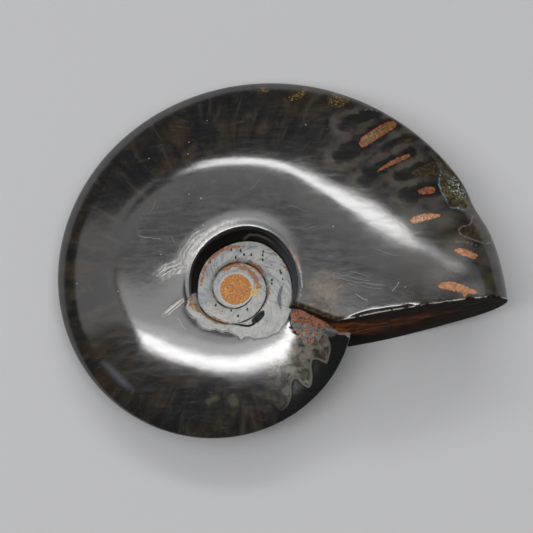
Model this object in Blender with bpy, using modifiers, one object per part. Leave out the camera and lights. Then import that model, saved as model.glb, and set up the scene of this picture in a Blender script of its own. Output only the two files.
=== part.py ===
"""A polished ammonite fossil: one coiled stone, about 75 mm across and 20 mm thick, lying on its side.

The coil is modelled about its own axis, with the mid-plane of the coil at z = 0. One half is lofted along the
spiral and mirrored, and the finished stone is then laid down on the flat that is ground on its lower side.
"""

import math

import bmesh
import bpy
from mathutils import Vector

NAME = "ammonite"
TURN = 2 * math.pi

# The spiral. An angle of 0 is the +X direction, and angles grow backwards through the shell's life: from the
# aperture, once round the last whorl, and on into the older whorls that show in the umbilicus.
COLUMNS = 64  # sections in each turn
VENTER_RADIUS = 0.04482  # from the axis to the outer rim, at angle 0
VENTER_RATE = 0.1339  # natural logarithm of the rim's growth, per radian
VENTER_SWAY_X, VENTER_SWAY_Y = -0.0168, -0.0047  # the rim's slow departure from a true spiral
SEAM_RADIUS = 0.0095  # from the axis to the seam where a whorl meets the older one, at angle 0
SEAM_RATE = 0.0979

# The whorl's half thickness at its fullest
CREST_LAST = 0.0107
CREST_CORE = 0.003144
CREST_RATE = 0.2234

# The section from the umbilical shoulder (0) to the venter (1), as shares of the half thickness
DOME = ((0.0, 0.90), (0.18, 1.0), (0.31, 0.955), (0.42, 0.87), (0.555, 0.74), (0.668, 0.62), (0.80, 0.475),
        (0.92, 0.29), (0.975, 0.155), (1.0, 0.0))
# The rows of a section cross the whorl at these shares of the same way
ROWS = (0.0, 0.08, 0.17, 0.265, 0.34, 0.41, 0.47, 0.55, 0.65, 0.75, 0.85, 0.92, 0.965, 1.0)
WALL_ROWS = ((0.0, 0.0), (0.3, 0.5), (0.7, 0.86))  # shares of the umbilical wall's width and height
INNER_ROWS = 6  # steps across an older whorl, from its own seam to the next whorl's seam

# The umbilical wall's width, as a share of the seam's radius: on the last whorl, where it sways once and
# twice in each turn, and on the older whorls. Near the end of the last turn the first gives way to the second.
WALL_SHARE = 0.235
WALL_SWAY, WALL_SWAY_TWICE = 0.05, -0.03
WALL_SHARE_CORE = 0.16
WALL_CHANGE_START, WALL_CHANGE_LENGTH = 0.8 * TURN, 0.25 * TURN
SEAM_GROOVE = 0.0002

# The flat that is ground and polished on each side, as a plane over the mid-plane
FLAT_HEIGHT = 0.0078
FLAT_RISE_X = 0.10
FLAT_RISE_Y = -0.01
FLAT_BLEND = 0.0004

# The aperture: a straight saw cut from the venter inwards, which turns towards the axis near the older whorl
CUT_TIP = Vector((0.04405, -0.00235))
CUT_SLOPE = 0.186
CUT_INNER_ANGLE = math.radians(-23.5)
CUT_RELAX = math.radians(60)  # how far the slant of the cut is felt in the sections behind it
CUT_STEPS = 6  # steps along the mid-plane, where the two halves of the cut face meet
CUT_ROUNDS = 4  # rounds that bring a point onto the cut at its own distance from the axis
LEAN_ROUNDS = 6  # rounds that bring a row of a section to its own angle

# Crust of matrix left in the corner under the cut, on the older whorl
CRUST_HEIGHT = 0.0028
CRUST_REACH = 0.0017
CRUST_OUTER_RADIUS = 0.0185
CRUST_FADE = 0.0025

# The core, where the oldest whorls are filled level with stone
CORE_HEIGHT = 0.0028
CORE_DISC_RADIUS = SEAM_RADIUS * math.exp(-SEAM_RATE * (CUT_INNER_ANGLE + 2 * TURN))
CORE_DISC_INNER = 0.0015
CORE_CRESCENT_RISE = 0.00015

# A pit between the two inner whorls, and a chip out of the rim
PIT = (Vector((0.0041, -0.0047)), 0.0009, 0.0011)  # place, radius, depth
RIM_CHIP = (math.radians(19), math.radians(4.5), 0.0006)  # angle, half width, depth


def ease(share):
    share = min(max(share, 0.0), 1.0)
    return share * share * (3 - 2 * share)


def lower_of(a, b, blend):
    """The lower of two heights, with a rounded corner where they cross."""
    mix = max(blend - abs(a - b), 0.0) / blend
    return min(a, b) - mix * mix * blend / 4


def venter_radius(angle):
    sway = VENTER_SWAY_X * math.cos(angle) + VENTER_SWAY_Y * math.sin(angle)
    chip_angle, chip_width, chip_depth = RIM_CHIP
    chip = chip_depth * math.exp(-(((angle - chip_angle) / chip_width) ** 2))
    return VENTER_RADIUS * math.exp(sway - VENTER_RATE * angle) - chip


def seam_radius(angle):
    return SEAM_RADIUS * math.exp(-SEAM_RATE * angle)


def shoulder_radius(angle):
    """The top of the umbilical wall, which leans outwards most on the far side of the coil."""
    last_whorl = 1 - ease((angle - WALL_CHANGE_START) / WALL_CHANGE_LENGTH)
    sway = WALL_SWAY * math.sin(angle) + WALL_SWAY_TWICE * math.cos(2 * angle)
    share = WALL_SHARE_CORE + (WALL_SHARE - WALL_SHARE_CORE + sway) * last_whorl
    return seam_radius(angle) * (1 + share)


def crest_height(angle):
    return CREST_CORE + (CREST_LAST - CREST_CORE) * math.exp(-CREST_RATE * angle)


def dome(share):
    """Height across the whorl, on a smooth cubic curve through the points of DOME."""
    share = min(max(share, 0.0), 1.0)
    index = max(i for i in range(len(DOME) - 1) if DOME[i][0] <= share)
    (x0, y0), (x1, y1) = DOME[index], DOME[index + 1]
    slopes = []
    for i in (index, index + 1):
        left = DOME[max(i - 1, 0)]
        right = DOME[min(i + 1, len(DOME) - 1)]
        slopes.append((right[1] - left[1]) / (right[0] - left[0]))
    if index == len(DOME) - 2:
        slopes[1] = 3 * (y1 - y0) / (x1 - x0)
    step = x1 - x0
    t = (share - x0) / step
    start = (1 + 2 * t) * (1 - t) ** 2 * y0 + t * (1 - t) ** 2 * step * slopes[0]
    end = t * t * (3 - 2 * t) * y1 + t * t * (t - 1) * step * slopes[1]
    return start + end


def across(angle, radius):
    """Share of the way from the shoulder to the venter."""
    inner = shoulder_radius(angle)
    return (radius - inner) / (venter_radius(angle) - inner)


def dome_height(angle, radius):
    return crest_height(angle) * dome(across(angle, radius))


def flat_height(place):
    return FLAT_HEIGHT + FLAT_RISE_X * place.x + FLAT_RISE_Y * place.y


def seam_height(angle):
    """A whorl starts on the flank of the whorl one turn older, in a fine groove."""
    return dome_height(angle + TURN, seam_radius(angle)) - SEAM_GROOVE


def cut_angle(radius):
    """The angle of the aperture's edge at a distance from the axis."""
    reach = CUT_TIP.x
    for _ in range(CUT_ROUNDS):
        y = CUT_TIP.y - (CUT_TIP.x - reach) * CUT_SLOPE
        reach = math.sqrt(max(radius * radius - y * y, 1e-9))
    return max(CUT_INNER_ANGLE, math.atan2(y, reach))


def crust_height(angle, radius):
    """Extra height where crust fills the corner between the cut and the older whorl."""
    behind = (TURN + CUT_INNER_ANGLE - angle) * radius
    if not 0 <= behind < 3 * CRUST_REACH:
        return 0.0
    from_seam = ease((radius - seam_radius(CUT_INNER_ANGLE)) / CRUST_FADE)
    from_venter = ease((CRUST_OUTER_RADIUS - radius) / CRUST_FADE)
    return CRUST_HEIGHT * from_seam * from_venter * math.exp(-((behind / CRUST_REACH) ** 2))


def pit_depth(place):
    middle, radius, depth = PIT
    away = (Vector((place.x, place.y)) - middle).length / radius
    return depth * math.exp(-(away**2))


def point(angle, radius, height):
    return Vector((radius * math.cos(angle), radius * math.sin(angle), height))


def section_point(angle, row):
    """A point of the last whorl's section. Rows run from the seam, up the wall and over the flank."""
    if row < len(WALL_ROWS):
        out, up = WALL_ROWS[row]
        foot, top = seam_radius(angle), shoulder_radius(angle)
        shoulder = point(angle, top, 0)
        top_height = lower_of(dome_height(angle, top), flat_height(shoulder), FLAT_BLEND)
        foot_height = seam_height(angle)
        return point(angle, foot + (top - foot) * out, foot_height + (top_height - foot_height) * up)
    share = ROWS[row - len(WALL_ROWS)]
    inner = shoulder_radius(angle)
    radius = inner + (venter_radius(angle) - inner) * share
    place = point(angle, radius, 0)
    if share < 1.0:
        ground = lower_of(dome_height(angle, radius), flat_height(place), FLAT_BLEND)
        place.z = ground + crust_height(angle, radius)
    return place


def outer_section(bm, column):
    """The last whorl's section, whose rows lean towards the slanting cut when the cut is near."""
    nominal = CUT_INNER_ANGLE + column * TURN / COLUMNS
    from_start = 1 - ease(column * TURN / COLUMNS / CUT_RELAX)
    from_end = 1 - ease((COLUMNS - column) * TURN / COLUMNS / CUT_RELAX)
    verts = []
    for row in range(len(WALL_ROWS) + len(ROWS)):
        angle = nominal
        for _ in range(LEAN_ROUNDS):
            place = section_point(angle, row)
            lean = cut_angle(math.hypot(place.x, place.y)) - CUT_INNER_ANGLE
            angle = nominal + lean * (from_start + from_end)
        verts.append(bm.verts.new(section_point(angle, row)))
    return verts


def older_whorl_section(bm, angle, outer_vert):
    """An older whorl in the umbilicus, from its own seam to the vertex of the seam that covers its rest."""
    reach = outer_vert.co.xy.length
    shoulder = shoulder_radius(angle)
    foot = seam_radius(angle)
    foot_height = seam_height(angle)
    wall_height = dome_height(angle, shoulder) - foot_height
    places = []
    for out, up in WALL_ROWS:
        places.append(point(angle, foot + (shoulder - foot) * out, foot_height + wall_height * up))
    steps = INNER_ROWS - len(WALL_ROWS)
    for i in range(steps):
        radius = shoulder + (reach - shoulder) * i / steps
        places.append(point(angle, radius, dome_height(angle, radius)))
    verts = []
    for place in places:
        place.z -= pit_depth(place)
        verts.append(bm.verts.new(place))
    return verts + [outer_vert]


def core_section(bm, angle, outer_vert):
    """The oldest whorl that shows: a low crescent between the filled core and the next whorl's seam."""
    core_edge = point(angle, CORE_DISC_RADIUS, CORE_HEIGHT)
    verts = []
    for i in range(INNER_ROWS):
        share = i / INNER_ROWS
        place = core_edge.lerp(outer_vert.co, share)
        place.z += CORE_CRESCENT_RISE * math.sin(math.pi * share)
        verts.append(bm.verts.new(place))
    return verts + [outer_vert]


def bridge(bm, first, second):
    """Quads between two sections. Where both use one vertex, a triangle closes the strip."""
    for row in range(len(first) - 1):
        corners = [first[row], first[row + 1], second[row + 1], second[row]]
        kept = [corner for i, corner in enumerate(corners) if corner not in corners[:i]]
        if len(kept) > 2:
            bm.faces.new(kept)


def zip_rows(bm, upper, lower):
    """Triangles between two rows of points that run outwards, taking the point nearer the axis each time."""
    i = j = 0
    while i < len(upper) - 1 or j < len(lower) - 1:
        far_upper = upper[i + 1].co.xy.length if i < len(upper) - 1 else math.inf
        far_lower = lower[j + 1].co.xy.length if j < len(lower) - 1 else math.inf
        if far_upper <= far_lower:
            corners = [upper[i], upper[i + 1], lower[j]]
            i += 1
        else:
            corners = [upper[i], lower[j + 1], lower[j]]
            j += 1
        if len(set(corners)) == 3:
            bm.faces.new(corners)


def build_last_whorl(bm):
    sections = [outer_section(bm, column) for column in range(COLUMNS + 1)]
    # A turn later, the seam starts from this very point of the whorl's flank.
    bm.verts.remove(sections[-1][INNER_ROWS])
    sections[-1][INNER_ROWS] = sections[0][0]
    for first, second in zip(sections, sections[1:]):
        bridge(bm, first, second)
    return sections


def build_inner_whorls(bm, last_whorl):
    """The older whorls in the umbilicus, down to the filled core. Returns the ring around the core."""
    covering = last_whorl[-1][: INNER_ROWS + 1]
    seams = [section[0] for section in last_whorl]
    start = CUT_INNER_ANGLE + TURN
    previous = covering
    whorl = [covering]
    for column in range(1, COLUMNS + 1):
        angle = start + column * TURN / COLUMNS
        section = older_whorl_section(bm, angle, seams[column])
        bridge(bm, previous, section)
        whorl.append(section)
        previous = section
    ring = [previous[0]]
    for column in range(1, COLUMNS + 1):
        angle = start + TURN + column * TURN / COLUMNS
        outer_vert = whorl[column][0]
        if column == COLUMNS:
            section = [ring[0]] * (INNER_ROWS + 1)  # the whorl runs out against the core
        else:
            section = core_section(bm, angle, outer_vert)
            ring.append(section[0])
        bridge(bm, previous, section)
        previous = section
    return ring


def build_core(bm, ring):
    inner = []
    for vert in ring:
        place = vert.co.xy.normalized() * CORE_DISC_INNER
        inner.append(bm.verts.new((place.x, place.y, CORE_HEIGHT)))
    for i, vert in enumerate(ring):
        after = (i + 1) % len(ring)
        bm.faces.new([inner[i], vert, ring[after], inner[after]])
    bm.faces.new(inner)


def build_aperture(bm, last_whorl):
    """The cut face, from the section at the cut down to the older whorl and, past that, to the mid-plane."""
    upper = last_whorl[0]
    lower = last_whorl[-1][INNER_ROWS:]
    end, tip = lower[-1].co, upper[-1].co
    midline = [bm.verts.new(end.lerp(tip, i / CUT_STEPS)) for i in range(1, CUT_STEPS)]
    lower = lower + midline + [upper[-1]]
    zip_rows(bm, upper, lower)


def stone_material():
    material = bpy.data.materials.new("polished_black_stone")
    material.use_nodes = True
    shader = material.node_tree.nodes["Principled BSDF"]
    shader.inputs["Base Color"].default_value = (0.022, 0.020, 0.018, 1)
    shader.inputs["Roughness"].default_value = 0.25
    shader.inputs["Metallic"].default_value = 0.0
    return material


def build_stone(collection):
    bm = bmesh.new()
    last_whorl = build_last_whorl(bm)
    ring = build_inner_whorls(bm, last_whorl)
    build_core(bm, ring)
    build_aperture(bm, last_whorl)
    bmesh.ops.recalc_face_normals(bm, faces=bm.faces)
    mesh = bpy.data.meshes.new(NAME)
    bm.to_mesh(mesh)
    bm.free()
    mesh.materials.append(stone_material())
    stone = bpy.data.objects.new(NAME, mesh)
    collection.objects.link(stone)
    mirror = stone.modifiers.new("other half", "MIRROR")
    mirror.use_axis = (False, False, True)
    mirror.merge_threshold = 0.00001
    return stone


def lay_down(stone):
    """Rests the stone on the flat of its lower side, with the origin under the middle of its outline."""
    flat_normal = Vector((FLAT_RISE_X, FLAT_RISE_Y, 1))
    stone.rotation_euler = flat_normal.rotation_difference(Vector((0, 0, 1))).to_euler()
    bpy.context.view_layer.update()
    turned = stone.matrix_world
    both = []
    for vert in stone.data.vertices:
        both.append(turned @ vert.co)
        both.append(turned @ Vector((vert.co.x, vert.co.y, -vert.co.z)))
    low = Vector([min(v[i] for v in both) for i in range(3)])
    high = Vector([max(v[i] for v in both) for i in range(3)])
    stone.location = (-(low.x + high.x) / 2, -(low.y + high.y) / 2, -low.z)


def main():
    for old in list(bpy.data.objects):
        bpy.data.objects.remove(old)
    collection = bpy.data.collections.new("polished ammonite")
    bpy.context.scene.collection.children.link(collection)
    stone = build_stone(collection)
    lay_down(stone)
    stone.data.shade_smooth()
    stone.data.set_sharp_from_angle(angle=math.radians(40))


main()
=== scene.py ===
"""The looks of a polished ammonite fossil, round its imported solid: one coiled stone lying on its side."""

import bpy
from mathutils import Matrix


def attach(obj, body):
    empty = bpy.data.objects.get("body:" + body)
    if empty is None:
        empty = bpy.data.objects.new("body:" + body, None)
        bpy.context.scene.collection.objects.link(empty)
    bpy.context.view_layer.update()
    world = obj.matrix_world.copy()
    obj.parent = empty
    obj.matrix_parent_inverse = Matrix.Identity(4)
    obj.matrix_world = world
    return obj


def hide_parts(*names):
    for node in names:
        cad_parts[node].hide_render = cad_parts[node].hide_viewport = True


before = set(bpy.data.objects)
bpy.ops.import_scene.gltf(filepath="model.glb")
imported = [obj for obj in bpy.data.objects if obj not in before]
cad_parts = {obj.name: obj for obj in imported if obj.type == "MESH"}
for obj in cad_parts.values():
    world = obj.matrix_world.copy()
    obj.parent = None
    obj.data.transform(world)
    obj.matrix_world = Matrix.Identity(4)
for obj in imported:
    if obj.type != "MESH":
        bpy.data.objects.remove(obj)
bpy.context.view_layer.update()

import math

import bpy
import numpy as np
from mathutils import Vector, noise

# ---------------------------------------------------------------- The last whorl
# The stone's outer turn, a shell filled with dark mineral and polished all over. A flat is ground across each
# side of it. It winds about the coil's own axis; lengths are millimetres until the stone is laid down. Angles
# grow backwards through the shell's life, from the saw cut at its mouth.

TURN = 2 * math.pi
START = math.radians(-23.5)  # where the cut turns in towards the axis
COLUMNS = 480
WALL_STEPS, INNER_STEPS, FLANK_STEPS, RIM_STEPS = 8, 20, 34, 12
LOWER_WALL_STEPS, LOWER_INNER_STEPS, LOWER_FLANK_STEPS, LOWER_RIM_STEPS = 4, 6, 16, 6
VENTER_RADIUS, VENTER_RATE = 44.82, 0.1339  # the outer edge, and how fast it shrinks with the angle
VENTER_SWAY_X, VENTER_SWAY_Y = -0.0168, -0.0047  # its slow departure from a true spiral
RIM_CHIP = (math.radians(19), math.radians(4.5), 0.6)  # angle, width, depth
SEAM_RADIUS, SEAM_RATE = 9.5, 0.0979
SEAM_PINCH = (2.4, 1.05, 0.95)  # angle, width and depth of the umbilicus's narrow side
CREST_CORE, CREST_GROWTH, CREST_RATE = 3.144, 7.556, 0.2234  # half the thickness, at the core and added to it
SHOULDER_SHARE, WALL_SHARE = 1.16, 0.05  # of the seam's radius, on every whorl and more on the last one
WALL_SWAY, WALL_SWAY_TWICE = 0.05, -0.03
FLAT_HEIGHT, FLAT_SLOPE = 7.8, (0.10, -0.01)
FLAT_BLEND = 0.65
WALL_RISE, OLDER_WALL_RISE = 3.2, 1.8  # how much steeper the umbilicus wall is at its foot
KEEL_SHARE, KEEL_FULLNESS = 0.83, 2.6
RIM_SHARE = 0.86  # where the mesh's rows begin to crowd towards the rim
# How the flank falls away, by degrees round the coil: the share of its width where it bends, how softly it
# bends, and how steep it is beyond.
FLANK_FORM = np.array([
    (-24, 0.640, 0.236, 1.53), (-8, 0.602, 0.222, 1.45), (6, 0.556, 0.171, 1.40), (16, 0.480, 0.143, 1.49),
    (26, 0.427, 0.121, 1.50), (38, 0.378, 0.097, 1.44), (52, 0.340, 0.094, 1.38), (70, 0.347, 0.094, 1.27),
    (95, 0.345, 0.107, 1.31), (125, 0.375, 0.101, 1.31), (160, 0.407, 0.084, 1.33), (195, 0.416, 0.075, 1.38),
    (225, 0.378, 0.092, 1.40), (255, 0.334, 0.132, 1.35), (285, 0.298, 0.148, 1.30), (311, 0.303, 0.112, 1.31),
    (336, 0.384, 0.049, 1.45)])
CUT_TIP = (44.05, -2.35)
CUT_SLOPE = 0.186
CUT_RELAX = math.radians(60)  # how far back the slant of the cut is felt in the mesh
CRUST_HEIGHT, CRUST_REACH, CRUST_OUTER_RADIUS, CRUST_FADE = 2.8, 1.7, 18.5, 2.5


def ease(share):
    share = np.clip(share, 0.0, 1.0)
    return share * share * (3 - 2 * share)


def hump(distance, width):
    return np.exp(-((distance / width) ** 2))


def chipped(angle):
    place, width, depth = RIM_CHIP
    return depth * hump(angle - place, width)


def venter(angle):
    sway = VENTER_SWAY_X * np.cos(angle) + VENTER_SWAY_Y * np.sin(angle)
    return VENTER_RADIUS * np.exp(sway - VENTER_RATE * angle) - chipped(angle)


def pinch(angle):
    """The umbilicus is a little narrower along its far left side."""
    middle, width, depth = SEAM_PINCH
    return depth * np.exp(-(((angle - middle) / width) ** 4))


def seam(angle):
    return SEAM_RADIUS * np.exp(-SEAM_RATE * angle) - pinch(angle)


def shoulder(angle):
    last_whorl = 1 - ease((angle - 0.8 * TURN) / (0.25 * TURN))
    sway = WALL_SWAY * np.sin(angle) + WALL_SWAY_TWICE * np.cos(2 * angle)
    return (seam(angle) + 0.4 * pinch(angle)) * (SHOULDER_SHARE + (WALL_SHARE + sway) * last_whorl)


def flank_form(angle):
    """The bend's place, softness and steepness at these angles, running smoothly through the table."""
    places = FLANK_FORM[:, 0]
    away = (np.clip(np.degrees(angle), places[0], places[-1])[..., None] - places) / (0.8 * np.gradient(places))
    weight = np.exp(-(away**2))
    weight /= weight.sum(axis=-1, keepdims=True)
    return weight @ FLANK_FORM[:, 1], np.exp(weight @ np.log(FLANK_FORM[:, 2])), weight @ FLANK_FORM[:, 3]


def natural_height(angle, radius):
    """The flank rises a little from its shoulder, bends down part of the way across, and closes in a keel."""
    crest = CREST_CORE + CREST_GROWTH * np.exp(-CREST_RATE * angle)
    inner = shoulder(angle)
    whole = venter(angle) + chipped(angle)
    chip = chipped(angle) * ease(((radius - inner) / (whole - inner) - 0.7) / 0.25)
    share = np.clip((radius - inner) / (whole - chip - inner), 0, 1)
    bend, softness, steepness = flank_form(angle)
    flank = 1 - steepness * softness * np.log1p(np.exp((share - bend) / softness))
    keel = np.sqrt(1 - np.clip((share - KEEL_SHARE) / (1 - KEEL_SHARE), 0, 1) ** KEEL_FULLNESS)
    inner_fall = 0.1 - 0.05 * hump(angle - 4.5, 0.9)
    return crest * np.maximum(flank - inner_fall * np.clip(1 - share / 0.17, 0, 1) ** 2, 0.01) * keel


def polished_height(angle, radius):
    """The natural flank, ground down to the flat where it stood higher."""
    natural = natural_height(angle, radius)
    flat = FLAT_HEIGHT + FLAT_SLOPE[0] * radius * np.cos(angle) + FLAT_SLOPE[1] * radius * np.sin(angle)
    mix = np.maximum(FLAT_BLEND - abs(natural - flat), 0.0) / FLAT_BLEND
    return np.minimum(natural, flat) - mix * mix * FLAT_BLEND / 4


def seam_height(angle):
    return natural_height(angle + TURN, seam(angle)) - 0.2


def cut_angle(radius):
    reach = np.full_like(radius, CUT_TIP[0])
    for _ in range(4):
        y = CUT_TIP[1] - (CUT_TIP[0] - reach) * CUT_SLOPE
        reach = np.sqrt(np.maximum(radius * radius - y * y, 1e-3))
    return np.maximum(START, np.arctan2(y, reach))


def crust_height(angle, radius):
    behind = (TURN + START - angle) * radius
    near = (behind >= 0) & (behind < 3 * CRUST_REACH)
    fades = ease((radius - seam(START)) / CRUST_FADE) * ease((CRUST_OUTER_RADIUS - radius) / CRUST_FADE)
    return np.where(near, CRUST_HEIGHT * fades * hump(behind, CRUST_REACH), 0.0)


def last_whorl_section(nominal, wall_steps, shares):
    """Growth angles, radii and heights of sections at these angles. Rows run up the wall and over the flank."""
    out = np.arange(wall_steps) / wall_steps
    rise = 1 - (1 - out) ** WALL_RISE
    lean_share = 2 - ease((nominal - START) / CUT_RELAX) - ease((START + TURN - nominal) / CUT_RELAX)
    angle = np.repeat(nominal[:, None], wall_steps + len(shares), axis=1)
    for _ in range(7):
        foot, top = seam(angle), shoulder(angle)
        wall = (foot + (top - foot) * np.append(out, np.zeros(len(shares))))[:, :wall_steps]
        flank = (top + (venter(angle) - top) * np.append(np.zeros(wall_steps), shares))[:, wall_steps:]
        radius = np.hstack([wall, flank])
        settled = angle
        angle = nominal[:, None] + (cut_angle(radius) - START) * lean_share[:, None]
    angle = settled
    height = polished_height(angle, radius) + crust_height(angle, radius)
    wall_angle = angle[:, :wall_steps]
    foot_height = seam_height(wall_angle)
    top_height = polished_height(wall_angle, shoulder(wall_angle))
    height[:, :wall_steps] = foot_height + (top_height - foot_height) * rise
    height[:, -1] = 0.0
    return angle, radius, height


density_at = np.linspace(START, START + TURN, 2000)
density = 1 + 2.2 * (1 - ease((density_at - math.radians(36)) / 0.2))
density += 1.0 * ease((density_at - math.radians(285)) / 0.2)
grown = np.concatenate([[0.0], np.cumsum((density[1:] + density[:-1]) / 2)])
NOMINAL = np.interp(np.linspace(0, grown[-1], COLUMNS + 1), grown, density_at)

turn_later = np.array([START + TURN])
SEAM_SHARE = float(((seam(START) - shoulder(turn_later)) / (venter(turn_later) - shoulder(turn_later)))[0])


def flank_shares(inner_steps, flank_steps, rim_steps):
    """Rows across the flank. One of them meets the seam where the whorl has gone once round."""
    inner = np.linspace(0, SEAM_SHARE, inner_steps + 1)
    flank = np.linspace(SEAM_SHARE, RIM_SHARE, flank_steps + 1)[1:]
    rim = RIM_SHARE + (1 - RIM_SHARE) * np.sin(np.linspace(0, math.pi / 2, rim_steps + 1)[1:])
    return np.concatenate([inner, flank, rim])


# Outlines on the stone's upper side, in the plane of the coil: where the polish stops round the umbilicus, the
# wavy growth lines beside it, a gouge, the chips along the saw cut, and the worn stretch of the rim.
MINERAL_EDGE = np.array([
    (180, 6.2), (187, 6.4), (193, 7.1), (198, 7.8), (201.8, 8.14), (205, 8.6), (213, 8.6), (222, 8.25),
    (230, 8.6), (235, 8.54), (241.5, 8.3), (247.9, 7.65), (256, 7.85), (262, 7.45), (265, 7.55), (270, 8.0),
    (274, 8.32), (277.6, 9.2), (281, 8.7), (286, 8.8), (290, 9.5), (293.7, 9.6), (298, 9.9), (302.5, 10.2),
    (308, 10.3), (313, 10.65), (318, 10.4), (322.7, 10.5), (330, 10.3), (336.5, 10.3)])
GROWTH_LINES = [(-12.9, 1.2), (-11.6, 2.4), (-10.2, 3.0), (-8.6, 3.5), (-8.0, 4.9), (-7.0, 6.6), (-5.7, 8.0),
                (-3.9, 8.9)]
GOUGE = [(-11.3, -5.0), (-8.5, -2.6)]
WORN_RIM = [(32.4, 23.4), (33.4, 22.3), (34.4, 21.0), (35.4, 19.9), (36.4, 18.6), (38.1, 15.6), (39.1, 13.7),
            (40.4, 11.4), (39.0, 11.6), (38.1, 12.3), (36.6, 12.7), (35.4, 12.4), (34.6, 13.9), (33.9, 15.2),
            (33.4, 16.9), (33.4, 18.0), (33.8, 19.6), (33.4, 21.0), (32.7, 22.5)]
# the chips' places along the cut, widths and reaches
EDGE_CHIPS = [(31.5, 1.0, 0.35), (34.4, 0.7, 0.3), (38.3, 0.85, 0.6), (41.8, 0.8, 0.7), (42.9, 0.5, 0.5)]
SHELL_TEETH = [(14.87, -7.7), (15.6, -9.8), (14.9, -12.5), (14.2, -12.3), (13.4, -11.9), (12.6, -11.9),
               (12.3, -12.9), (12.5, -14.7), (12.2, -16.1), (11.7, -16.5), (10.9, -16.0), (10.1, -15.1),
               (9.4, -15.2), (9.0, -16.2), (9.1, -17.8), (8.4, -19.3), (7.3, -20.2), (6.3, -19.4), (5.4, -18.6),
               (4.6, -19.3), (3.9, -21.5), (2.5, -22.5)]
OVAL_PIT = [(4.91, -4.04), (5.03, -4.97), (4.22, -6.01), (3.1, -6.65), (2.74, -5.94), (3.08, -5.1),
            (3.89, -4.38)]
PIT_SEAM = [(3.2, -6.45), (2.4, -6.75), (1.56, -6.66), (0.55, -6.45), (-0.4, -6.1)]
SMALL_PITS = [(-0.6, 6.3), (0.95, 6.1), (1.5, 5.5), (2.7, 5.4), (0.1, 5.1), (4.7, 5.8), (4.6, 5.2), (4.6, 4.4),
              (7.5, 2.5), (7.6, 2.1), (7.9, 1.0), (-0.7, -3.7), (0.5, -4.7), (6.1, 0.4), (6.1, 1.0),
              (-4.1, 4.4), (2.0, -3.6), (-3.2, -2.8)]


def nearest(x, y, line):
    """Distance to a line of points, the share of the way along it, and the side: positive on the left."""
    best = np.full(x.shape, 1e6)
    along = np.zeros(x.shape)
    side = np.ones(x.shape)
    lengths = [math.dist(a, b) for a, b in zip(line, line[1:])]
    gone = 0.0
    for (ax, ay), (bx, by), length in zip(line, line[1:], lengths):
        t = np.clip(((x - ax) * (bx - ax) + (y - ay) * (by - ay)) / length**2, 0, 1)
        away = np.hypot(x - ax - t * (bx - ax), y - ay - t * (by - ay))
        closer = away < best
        turn = (bx - ax) * (y - ay) - (by - ay) * (x - ax)
        best = np.where(closer, away, best)
        along = np.where(closer, (gone + t * length) / sum(lengths), along)
        side = np.where(closer, np.sign(turn), side)
        gone += length
    return best, along, side


def depth_inside(x, y, outline):
    """Distance inside a closed outline; negative outside it."""
    best, _, _ = nearest(x, y, outline + outline[:1])
    inside = np.zeros(x.shape, bool)
    for (ax, ay), (bx, by) in zip(outline, outline[1:] + outline[:1]):
        if ay != by:
            crosses = ((ay > y) != (by > y)) & (x < ax + (y - ay) * (bx - ax) / (by - ay))
            inside ^= crosses
    return np.where(inside, best, -best)


def rough(x, y, size, seed=0.0):
    """Smooth noise from -1 to 1, with lumps of the given size."""
    flat = [noise.noise((u / size, v / size, seed)) for u, v in zip(x.ravel(), y.ravel())]
    return np.array(flat).reshape(x.shape)


def mineral_edge(angle):
    """Radius inside which the last whorl shows bare grey mineral."""
    degrees = np.degrees(angle)
    edge = np.interp(degrees, MINERAL_EDGE[:, 0], MINERAL_EDGE[:, 1])
    return np.where(degrees < 180, seam(angle) - 0.05, edge)


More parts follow.
